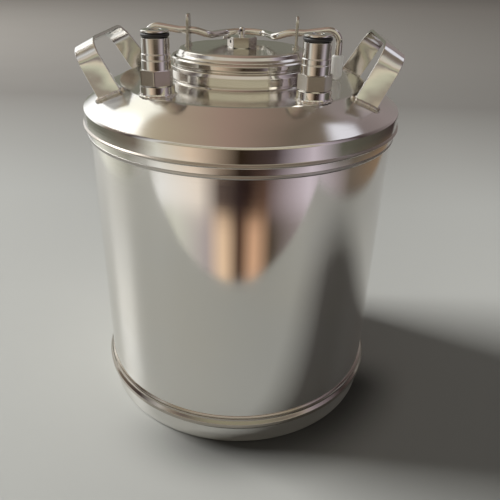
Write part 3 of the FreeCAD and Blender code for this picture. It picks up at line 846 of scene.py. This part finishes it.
def build_handle(side, name):
    near, far = (arch_points(arch) for arch in HANDLES[side])
    inside_loop = Vector((82, 0, 260))
    last = len(near) - 1
    rows = []
    for i, (a, b) in enumerate(zip(near, far)):
        after, before = min(i + 1, last), max(i - 1, 0)
        tangent = (near[after] - near[before] + far[after] - far[before]).normalized()
        across = (b - a).normalized()
        inward = tangent.cross(across).normalized()
        if (inside_loop - (a + b) / 2).dot(inward) < 0:
            inward = -inward
        row = [a + across * u + inward * depth for u, depth in strap_section((b - a).length)]
        rows.append([(v.x * side, v.y, v.z) for v in row])
    verts, faces = skin(rows, closed=False)
    count, ring = len(verts), len(rows[0])
    faces += [tuple(range(ring)), tuple(range(count - ring, count))]
    put(make_object(name, verts, faces, 28.0), "strap", "vessel")


build_handle(1, "visual_handle_right")
build_handle(-1, "visual_handle_left")


# ---------------------------------------------------------------- handle welds
def shoulder_z(radius):
    """Height of the dome's outer face at a radius on the shoulder."""
    for (r0, z0), (r1, z1) in zip(dome_outer, dome_outer[1:]):
        if r1 <= radius <= r0:
            return z0 + (z1 - z0) * (radius - r0) / (r1 - r0)


def weld_run(points, radius, seed, pitch=1.5, spacing=0.28):
    """Weld bead: overlapping scallops, one to each pitch, along a line."""
    points = [Vector(p) for p in points]
    reached = [0.0]
    for a, b in zip(points, points[1:]):
        reached.append(reached[-1] + (b - a).length)
    total = reached[-1]
    count = int(total / spacing)
    line = []
    for i in range(count + 1):
        s = total * i / count
        for j in range(len(points) - 1):
            if reached[j] <= s <= reached[j + 1] + 1e-9:
                f = (s - reached[j]) / max(1e-9, reached[j + 1] - reached[j])
                line.append(points[j].lerp(points[j + 1], f))
                break

    def scallops(along):
        s = along * total
        size = 0.80 + 0.22 * abs(math.cos(math.pi * s / pitch + seed))
        size += 0.22 * noise.noise(Vector((s * 0.55, seed * 3.1, 0)))
        return size * min(1.0, along / 0.06 + 0.25, (1 - along) / 0.06 + 0.25)
    return tube("weld", line, radius, 14, swell=scallops)


def weld_handle(side, name):
    near, far = ((arch["x"], arch["base"] / 2 - T_STRAP / 2) for arch in HANDLES[side])
    runs = []
    seed = 0
    for leg in (1, -1):
        # along the strap's two broad faces
        for face in (-1, 1):
            points = []
            for k in range(9):
                x, y = between(near, far, -0.02 + 1.04 * k / 8)
                y = leg * y + face * (T_STRAP / 2 + 0.45)
                points.append((x * side, y, shoulder_z(math.hypot(x, y)) + 0.25))
            runs.append(weld_run(points, 1.95, seed * 1.7 + leg))
            seed += 1
        # short returns round the strap's two edges
        for f in (-0.055, 1.055):
            x, y = between(near, far, f)
            y = leg * y
            points = [(x * side, y + d, shoulder_z(math.hypot(x, y + d)) + 0.2)
                      for d in (-1.5, -0.5, 0.5, 1.5)]
            runs.append(weld_run(points, 1.6, seed * 2.3))
            seed += 1
    put(join(runs, name), "weld", "vessel")


weld_handle(1, "visual_handle_right_welds")
weld_handle(-1, "visual_handle_left_welds")

# ---------------------------------------------------------------- lid
Z_LID_UNDER = Z_LID_TOP - T_LID
R_LID_HOLE = 5.6
lid_profile = round_path([
    (0.0, Z_LID_TOP), (41.6, Z_LID_TOP, 2.0), (44.0, 269.9, 1.6), (45.3, 267.6, 1.2),
    (A_LID, 266.2, 0.8), (A_LID, 260.6, 0.6), (44.7, 259.2, 0.6), (44.7, 253.0, 0.6),
    (A_FLANGE, 253.0, 0.4), (A_FLANGE, 251.4, 0.4), (42.9, 251.4, 0.8), (42.9, 265.0, 1.5),
    (41.2, Z_LID_UNDER, 1.5), (R_LID_HOLE, Z_LID_UNDER)], 7.0)
# the plate goes from a round hole to the oval rim
rings = [(R_LID_HOLE, Z_LID_TOP), (20.0, Z_LID_TOP, 0.95), (34.0, Z_LID_TOP, OVAL)]
rings += [(r, z, OVAL) for r, z in lid_profile[1:-1]]
rings += [(20.0, Z_LID_UNDER, 0.95), (R_LID_HOLE, Z_LID_UNDER)]
put(rings_mesh("visual_lid", rings, 300), "lid", "lid")

# ears that carry the bail
X_EAR, T_EAR, EAR_EDGE = 37.8, 2.0, 0.3
Z_EAR_BASE, EAR_HALF_BASE = Z_LID_TOP + 0.02, 6.0
R_EAR_HOLE = R_WIRE + 0.06


def build_ear(x0, lean):
    """Upright plate with the bail's bearing hole, edges rounded, its top leaning in +X."""
    count = 72
    outline = closed_outline([(-EAR_HALF_BASE, Z_EAR_BASE), (EAR_HALF_BASE, Z_EAR_BASE, 0.0),
                              (5.2, 291.8, 4.0), (-5.2, 291.8, 4.0)], 8.0)

    def reach(angle):
        """Distance from the hole's centre to the outline."""
        dy, dz = math.cos(angle), math.sin(angle)
        best = None
        for p, q in zip(outline, outline[1:] + outline[:1]):
            ey, ez = q[0] - p[0], q[1] - p[1]
            den = dy * ez - dz * ey
            if abs(den) < 1e-12:
                continue
            t = (p[0] * ez - (p[1] - Z_PIVOT) * ey) / den
            s = (p[0] * dz - (p[1] - Z_PIVOT) * dy) / den
            if t > 0 and -1e-9 <= s <= 1 + 1e-9 and (best is None or t < best):
                best = t
        return best

    # even angles about the hole, with the nearest ones moved onto the two base corners
    angles = [TAU * k / count for k in range(count)]
    for y in (EAR_HALF_BASE, -EAR_HALF_BASE):
        a = math.atan2(Z_EAR_BASE - Z_PIVOT, y) % TAU
        nearest = min(range(count),
                      key=lambda k: abs((angles[k] - a + math.pi) % TAU - math.pi))
        angles[nearest] = a
    angles.sort()

    # loops round the plate's section: (on the hole, x from the middle, radius or rim offset)
    half = T_EAR / 2
    loops = [(True, -half, R_EAR_HOLE), (False, -half, -EAR_EDGE), (False, -half + EAR_EDGE, 0),
             (False, half - EAR_EDGE, 0), (False, half, -EAR_EDGE), (True, half, R_EAR_HOLE)]
    rows = []
    for on_hole, dx, offset in loops:
        row = []
        for a in angles:
            r = offset if on_hole else reach(a) + offset
            y, z = r * math.cos(a), Z_PIVOT + r * math.sin(a)
            bend = lean * ((z - Z_PIVOT) / 12.0) ** 2 if z > Z_PIVOT else 0
            row.append((x0 + dx + bend, y, z))
        rows.append(row)
    return make_object("ear", *skin(rows), 50.0)


put(join([build_ear(-X_EAR, 0.25), build_ear(X_EAR, 0.15)], "visual_lid_brackets"),
    "ear", "lid")
runs = []
for side in (-1, 1):
    for face in (-1, 1):
        x = side * X_EAR + face * 1.35
        line = [(x, y, Z_LID_TOP + 0.1) for y in (-5.6, -3, 0, 3, 5.6)]
        runs.append(weld_run(line, 0.9, side + 2 * face))
put(join(runs, "visual_lid_bracket_welds"), "weld", "lid")

# ---------------------------------------------------------------- bail
# right half of the wire, from its foot to the grip at the back: (x, y, z, bend radius)
half_wire = [
    (X_FOOT, 0, 255.1, 0.0), (X_FOOT, 0, 284.3, 8.0), (44.0, 0, Z_PIVOT, 20.0),
    (33.0, 0, Z_PIVOT, 12.0), (23.0, 3.0, 277.7, 8.0), (15.5, 30.0, 276.1, 9.0),
]
left_half = [(-x, y, z, bend) for x, y, z, bend in reversed(half_wire)]
wire = bend_wire(half_wire + [(1.5, 35.5, 277.0, 24.0)] + left_half, 5.0)
put(tube("visual_bail_wire", wire, R_WIRE, 32), "wire", "bail")

# feet: round-bottomed sleeves over the wire's ends, just clear of the dome
z_foot = Z_FLAT + FOOT_GAP
profile = [(0.0, z_foot)]
for k in range(1, 13):
    a = math.radians(-90 + 90 * k / 12)
    profile.append((R_FOOT * math.cos(a), z_foot + R_FOOT + R_FOOT * math.sin(a)))
profile += round_path([(R_FOOT, 256.0), (R_FOOT, 266.2, 0.6), (3.2, 267.1, 0.3),
                       (2.43, 267.1, 0.25), (2.43, 255.05, 0.2), (0.0, 255.05)], 12.0)
caps = [lathe("cap", profile, 64, cx=side * X_FOOT) for side in (-1, 1)]
put(join(caps, "visual_bail_foot_caps"), "cap", "bail")

# ---------------------------------------------------------------- relief valve
rings = [(3.9, 257.0), (5.3, 257.0), (5.5, 257.2), (5.5, 271.62), (8.3, 271.62), (8.3, 270.95)]
rings += hex_levels(18.0, Z_LID_TOP + 0.02, 277.9, 0.0)
rings += [(3.4, 277.9), (3.2, 277.75), (2.3, 277.6), (2.08, 277.4), (2.08, 276.2), (3.9, 276.2)]
valve = rings_mesh("visual_prv_body", rings, 144, sharp=24.0)
# level cross hole right through the hexagon
bore_angle, Z_CROSS_HOLE, R_CROSS_HOLE = math.radians(-150), 274.8, 1.2
bore = [Vector((math.cos(bore_angle) * s, math.sin(bore_angle) * s, Z_CROSS_HOLE))
        for s in (-15, -5, 5, 15)]
put(cut(valve, tube("cutter", bore, R_CROSS_HOLE, 32)), "turned_mid", "lid")

# pull ring: a split ring of two coils through the stem's eye, drooping to the back left
RING_AZIMUTH, RING_DROOP = math.radians(150.0), math.radians(25.0)
R_RING, R_RING_WIRE, Z_EYE = 8.0, 0.37, 281.8
COIL_TURNS, COIL_STEPS, COIL_START, COIL_LIFT = 1.94, 220, 0.9, 0.36
outward = Vector((math.cos(RING_AZIMUTH) * math.cos(RING_DROOP),
                  math.sin(RING_AZIMUTH) * math.cos(RING_DROOP), -math.sin(RING_DROOP)))
sideways = Vector((math.cos(RING_AZIMUTH - math.pi / 2),
                   math.sin(RING_AZIMUTH - math.pi / 2), 0))
off_plane = sideways.cross(outward).normalized()
ring_centre = Vector((0, 0, Z_EYE)) + outward * R_RING
coil = []
for k in range(COIL_STEPS + 1):
    f = k / COIL_STEPS
    a = TAU * COIL_TURNS * f + COIL_START
    # the two coils lie side by side and cross over in one short step
    crossed = min(1.0, max(0.0, (f * COIL_TURNS - 0.90) / 0.16))
    coil.append(ring_centre - outward * (R_RING * math.cos(a)) + sideways * (R_RING * math.sin(a))
                + off_plane * (COIL_LIFT * (2 * crossed - 1)))
put(tube("visual_prv_pull_ring", coil, R_RING_WIRE, 12), "wire", "prv_pull_ring")

# ---------------------------------------------------------------- CAD nodes that only get a finish
KEPT_NODES = {
    "tube": ("gas_dip_tube", "liquid_dip_tube"),
    "spring": ("gas_poppet_spring", "liquid_poppet_spring", "prv_spring"),
    "turned_left": ("gas_poppet",),
    "turned_right": ("liquid_poppet",),
    "turned_mid": ("prv_nut", "prv_seat", "prv_stem"),
    "rubber": ("gas_tube_oring", "liquid_tube_oring", "gas_poppet_seal", "liquid_poppet_seal",
               "lid_oring", "prv_gasket", "prv_seal"),
}
for finish, names in KEPT_NODES.items():
    for name in names:
        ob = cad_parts[name]
        if not ob.material_slots:
            ob.data.materials.append(MATERIALS[finish])
        for slot in ob.material_slots:
            slot.material = MATERIALS[finish]


# ---------------------------------------------------------------- floor (m)
FLOOR_SIZE, FLOOR_X, FLOOR_Y, FLOOR_CELLS = 12, -6, -5, 24
# floor colour from front to back, partly its own tone and partly painted light and shade:
# (position, rgb), 0 at y = -0.5 and 1 at y = 3.5
FLOOR_TONES_AND_PAINTED_SHADE = [
    (0.0, (0.55, 0.555, 0.53)), (0.10, (0.55, 0.555, 0.53)), (0.145, (0.56, 0.563, 0.537)),
    (0.2125, (0.505, 0.507, 0.485)), (0.27, (0.405, 0.40, 0.38)),
    (0.366, (0.275, 0.262, 0.245)), (0.505, (0.33, 0.312, 0.29)),
    (0.79, (0.40, 0.375, 0.345)), (1.0, (0.46, 0.425, 0.39)),
]


def radians(*degrees):
    return tuple(math.radians(d) for d in degrees)


def glossy_ray(net):
    return net.node("LightPath").outputs["Is Glossy Ray"]


def contact_shadow(net, x, y):
    """Soft dark contact under the front of the foot, faint to the metal's mirror rays."""
    radius = net.math("SQRT", net.add(net.mul(x, x), net.mul(y, y)))
    angle = net.math("ARCTAN2", x, net.mul(y, -1.0))
    near = net.remap(radius, at=(0.109, 0.165), to=(1.0, 0.0), smooth=True)
    near = net.math("POWER", near, 1.3)
    front = net.window(angle, rise=radians(-48.0, 2.0), fall=radians(70.0, 95.0))
    mirror_fade, depth = 0.8, 0.84
    seen = net.math("SUBTRACT", 1.0, net.mul(glossy_ray(net), mirror_fade))
    return net.mul(near, front, seen, depth)


def floor_material():
    mat, net = material_net("floor_pale")
    place = net.node("NewGeometry").outputs["Position"]
    x, y, _ = net.split(place)
    # painted light and shade: the floor colour rises and falls from front to back
    tone = net.ramp(net.remap(y, at=(-0.5, 3.5)), FLOOR_TONES_AND_PAINTED_SHADE)
    # painted light: the floor colour is made paler to the right, and darker in the painted contact
    # shadow
    gain = net.remap(x, at=(0.06, 0.38), to=(1.0, 1.24), smooth=True)     # paler to the right
    gain = net.mul(gain, net.math("SUBTRACT", 1.0, contact_shadow(net, x, y)))
    tone = net.node("VectorMath", {0: tone, "Scale": gain}, operation="SCALE").outputs[0]
    blotches = net.remap(net.noise(place, scale=3.0), at=(0.35, 0.65), to=(0.0, 0.06))
    tone = net.mix(blotches, tone, (0.44, 0.43, 0.41))
    glossy = glossy_ray(net)
    specular = 0.28                      # the floor shines only in the metal's reflections
    surface = net.node("BsdfPrincipled", {
        "Base Color": tone,
        "Roughness": net.remap(net.noise(place, scale=60.0, detail=4.0),
                               at=(0.3, 0.7), to=(0.30, 0.36)),
        "Specular IOR Level": net.mul(glossy, specular),
    })
    # in the metal's reflections the floor ends at the front, left and right
    front = net.remap(y, at=(-0.330, -0.352), smooth=True)
    left = net.remap(x, at=(-0.56, -0.66), smooth=True)
    right = net.remap(x, at=(0.50, 0.58), smooth=True)
    beyond = net.mul(net.math("MAXIMUM", front, net.math("MAXIMUM", left, right)), glossy)
    clear = net.node("BsdfTransparent")
    mixed = net.node("MixShader", {0: beyond, 1: surface.outputs[0], 2: clear.outputs[0]})
    net.node("OutputMaterial", {0: mixed.outputs[0]})
    return mat


row = FLOOR_CELLS + 1
verts = [(FLOOR_X + FLOOR_SIZE * i / FLOOR_CELLS, FLOOR_Y + FLOOR_SIZE * j / FLOOR_CELLS, 0.0)
         for j in range(row) for i in range(row)]
corners = [j * row + i for j in range(FLOOR_CELLS) for i in range(FLOOR_CELLS)]
floor_mesh = bpy.data.meshes.new("floor")
floor_mesh.from_pydata(verts, [], [(a, a + 1, a + row + 1, a + row) for a in corners])
floor = new_object("floor", floor_mesh)
floor_mesh.materials.append(floor_material())


# ---------------------------------------------------------------- lights (m, W)
def window_light(name, energy, colour):
    """Soft rectangular light, high on the left and a little behind."""
    place, target = Vector((-3.04, 0.74, 2.50)), Vector((0, 0, 0.08))
    light = bpy.data.lights.new(name, "AREA")
    light.shape = "RECTANGLE"
    light.size, light.size_y = 1.45, 1.2
    light.energy = energy
    light.color = colour
    ob = bpy.data.objects.new(name, light)
    ob.location = place
    ob.rotation_euler = (target - place).to_track_quat("-Z", "Y").to_euler()
    bpy.context.scene.collection.objects.link(ob)
    return ob


# one window twice: as it lights the scene, and as the metal mirrors it
key = window_light("key", energy=170.0, colour=(1.0, 1.0, 0.985))
key.visible_glossy = False
shine = window_light("shine", energy=112.0, colour=(1.0, 1.0, 0.99))
shine.visible_diffuse = False

# ---------------------------------------------------------------- world
# The metal mirrors a studio of broad soft cards. Their colours are 8-bit sRGB as seen in the
# metal, so they are divided by its reflectance.
REFLECTANCE = 0.66
EYE_OUT, WALL_OUT = 411.0, 112.0         # distances of camera and vessel wall from the axis, mm

# by azimuth in degrees: 0 is the camera side, + is the right
LOW_BAND = [
    (-180, (150, 150, 140)), (-115, (90, 90, 80)), (-78, (100, 90, 80)),
    (-60, (190, 190, 180)), (-35, (200, 180, 160)), (0, (40, 30, 20)), (25, (60, 50, 50)),
    (52, (180, 170, 180)), (75, (80, 80, 70)), (140, (50, 40, 40)), (180, (150, 150, 140)),
]
UPPER_WALL = [
    (-180, (150, 150, 140)), (-120, (220, 220, 210)), (-88, (150, 150, 140)),
    (-60, (220, 220, 220)), (-30, (220, 210, 200)), (-14, (60, 50, 50)), (6, (30, 20, 20)),
    (18, (80, 60, 50)), (52, (190, 180, 190)), (90, (100, 90, 80)), (125, (120, 100, 80)),
    (180, (150, 150, 140)),
]
MID_WALL = [
    (-180, (150, 150, 140)), (-120, (220, 220, 210)), (-80, (150, 150, 140)),
    (-48, (190, 190, 180)), (-25, (160, 150, 150)), (-12, (220, 190, 160)), (0, (70, 50, 40)),
    (12, (200, 160, 130)), (26, (70, 60, 50)), (50, (140, 130, 130)), (94, (60, 50, 50)),
    (140, (140, 140, 130)), (180, (150, 150, 140)),
]
ABOVE_HORIZON = [
    (-180, (100, 100, 90)), (-157, (110, 110, 100)), (-147, (250, 250, 250)),
    (-121, (255, 255, 255)), (-105, (130, 120, 110)), (-80, (70, 60, 60)),
    (-61, (200, 200, 200)), (-44, (90, 80, 70)), (-20, (120, 100, 90)), (6, (50, 40, 40)),
    (30, (150, 140, 130)), (42, (60, 50, 50)), (56, (170, 160, 170)), (90, (60, 50, 50)),
    (138, (130, 120, 120)), (180, (100, 100, 90)),
]
# in front, by elevation in degrees: what the upright straps and flats mirror
FRONT = [
    (-20, (60, 50, 44)), (-10, (60, 50, 40)), (-4, (150, 140, 120)), (0, (170, 160, 140)),
    (4, (130, 120, 110)), (11, (180, 180, 160)), (16, (200, 190, 170)), (21, (110, 100, 100)),
    (25, (160, 160, 140)), (31, (160, 150, 130)), (34, (190, 180, 170)), (46, (180, 180, 170)),
    (50, (110, 110, 90)), (57, (130, 110, 100)), (70, (130, 114, 99)),
]
# overhead, by the x of the direction
OVERHEAD = [
    (-0.6, (160, 150, 130)), (-0.1, (140, 120, 110)), (0.36, (100, 90, 80)),
    (0.6, (110, 100, 90)),
]


def linear(rgb, gain=1.0):
    """8-bit sRGB to linear light."""
    parts = [v / 255.0 for v in rgb]
    return tuple((v / 12.92 if v <= 0.04045 else ((v + 0.055) / 1.055) ** 2.4) * gain
                 for v in parts)


def card(rgb):
    return linear(rgb, gain=1.0 / REFLECTANCE)


def card_ramp(net, factor, cards):
    """Ramp over the cards; factor 0 is at the first and 1 at the last."""
    low, high = cards[0][0], cards[-1][0]
    return net.ramp(factor, [((at - low) / (high - low), card(rgb)) for at, rgb in cards])


def studio_cards(net):
    """Colour of the studio in each direction."""
    x, y, z = net.split(net.node("TexCoord").outputs["Generated"])
    # directions as the camera sees them: turned so that it looks along +Y
    cos, sin = math.cos(CAMERA_TURN), math.sin(CAMERA_TURN)
    seen_x = net.math("SUBTRACT", net.mul(x, cos), net.mul(y, -sin))
    seen_y = net.add(net.mul(x, -sin), net.mul(y, cos))
    azimuth = net.math("ARCTAN2", seen_x, net.mul(seen_y, -1.0))
    around = net.add(net.math("DIVIDE", azimuth, TAU), 0.5)
    elevation = net.math("ARCSINE", z)

    # drop below the camera, in mm, of the wall point that mirrors this direction
    half_way = net.math("COSINE", net.mul(azimuth, 0.5))
    distance = net.math("SQRT", net.math("SUBTRACT", EYE_OUT ** 2 + WALL_OUT ** 2,
                                         net.mul(2 * EYE_OUT * WALL_OUT, half_way)))
    drop = net.mul(net.math("TANGENT", net.mul(elevation, -1.0)), distance)
    col = net.mix(net.remap(drop, at=(108.0, 121.0), smooth=True),
                  card_ramp(net, around, LOW_BAND), card_ramp(net, around, UPPER_WALL))
    col = net.mix(net.remap(drop, at=(131.0, 152.0), smooth=True),
                  col, card_ramp(net, around, MID_WALL))

    # above the horizon: front cards within about 55 degrees of the camera, then overhead
    height = net.remap(elevation, at=radians(-20.0, 70.0))
    facing = net.remap(net.math("ABSOLUTE", azimuth), at=radians(46.0, 64.0), to=(1.0, 0.0),
                       smooth=True)
    room = net.mix(facing, card_ramp(net, around, ABOVE_HORIZON), card_ramp(net, height, FRONT))
    col = net.mix(net.remap(elevation, at=radians(-13.0, -3.0), smooth=True), col, room)
    overhead = card_ramp(net, net.remap(x, at=(-0.6, 0.6)), OVERHEAD)
    col = net.mix(net.remap(elevation, at=radians(42.0, 51.0), smooth=True), col, overhead)

    # a pale window to the right, high up
    patch = net.mul(
        net.window(azimuth, rise=radians(92.0, 102.0), fall=radians(120.0, 128.0)),
        net.window(elevation, rise=radians(36.0, 41.0), fall=radians(50.0, 57.0)))
    col = net.mix(patch, col, card((210, 210, 220)))
    # the top of the window on the left, which the shoulder mirrors as its highlight
    patch = net.mul(
        net.window(azimuth, rise=radians(-152.0, -146.0), fall=radians(-126.0, -118.0)),
        net.window(elevation, rise=radians(30.0, 36.0), fall=radians(45.0, 53.0)))
    return net.mix(patch, col, card((240, 240, 230)))


def background(net, colour, strength):
    return net.node("Background", {0: colour, 1: strength}).outputs[0]


world = bpy.data.worlds.new("studio")
bpy.context.scene.world = world
world.use_nodes = True
net = Net(world.node_tree)
mirrored = background(net, studio_cards(net), strength=1.0)
ambient = background(net, (1.0, 0.96, 0.915, 1.0), strength=0.108)
backdrop = background(net, (*linear((150, 146, 139)), 1.0), strength=1.0)
rays = net.node("LightPath").outputs
lit = net.node("MixShader", {0: rays["Is Glossy Ray"], 1: ambient, 2: mirrored}).outputs[0]
shown = net.node("MixShader", {0: rays["Is Camera Ray"], 1: lit, 2: backdrop}).outputs[0]
net.node("OutputWorld", {0: shown})

# ---------------------------------------------------------------- camera (m)
PITCH, YAW, ROLL = math.radians(28.706), 0.0033, 0.0193
CAMERA_BACK, CAMERA_HEIGHT = 0.4114, 0.3328


def turned(v):
    """Turns a vector about the keg's axis by the camera's turn."""
    c, s = math.cos(CAMERA_TURN), math.sin(CAMERA_TURN)
    return Vector((v[0] * c - v[1] * s, v[0] * s + v[1] * c, v[2]))


forward = Vector((math.sin(YAW) * math.cos(PITCH), math.cos(YAW) * math.cos(PITCH),
                  -math.sin(PITCH)))
level = Vector((math.cos(YAW), -math.sin(YAW), 0))
upright = level.cross(forward)
right = turned(level * math.cos(ROLL) + upright * math.sin(ROLL))
up = turned(-level * math.sin(ROLL) + upright * math.cos(ROLL))
forward = turned(forward)

lens = bpy.data.cameras.new("camera")
lens.sensor_width = 36.0
lens.sensor_fit = "HORIZONTAL"
lens.lens = 39.92
lens.shift_x = 0.02
lens.clip_start, lens.clip_end = 0.01, 50.0
camera = bpy.data.objects.new("camera", lens)
camera.matrix_world = Matrix(((right.x, up.x, -forward.x, 0), (right.y, up.y, -forward.y, 0),
                              (right.z, up.z, -forward.z, 0), (0, 0, 0, 1)))
camera.matrix_world.translation = turned((0, -CAMERA_BACK, CAMERA_HEIGHT))
bpy.context.scene.collection.objects.link(camera)
bpy.context.scene.camera = camera
bpy.context.scene.view_settings.view_transform = "Standard"
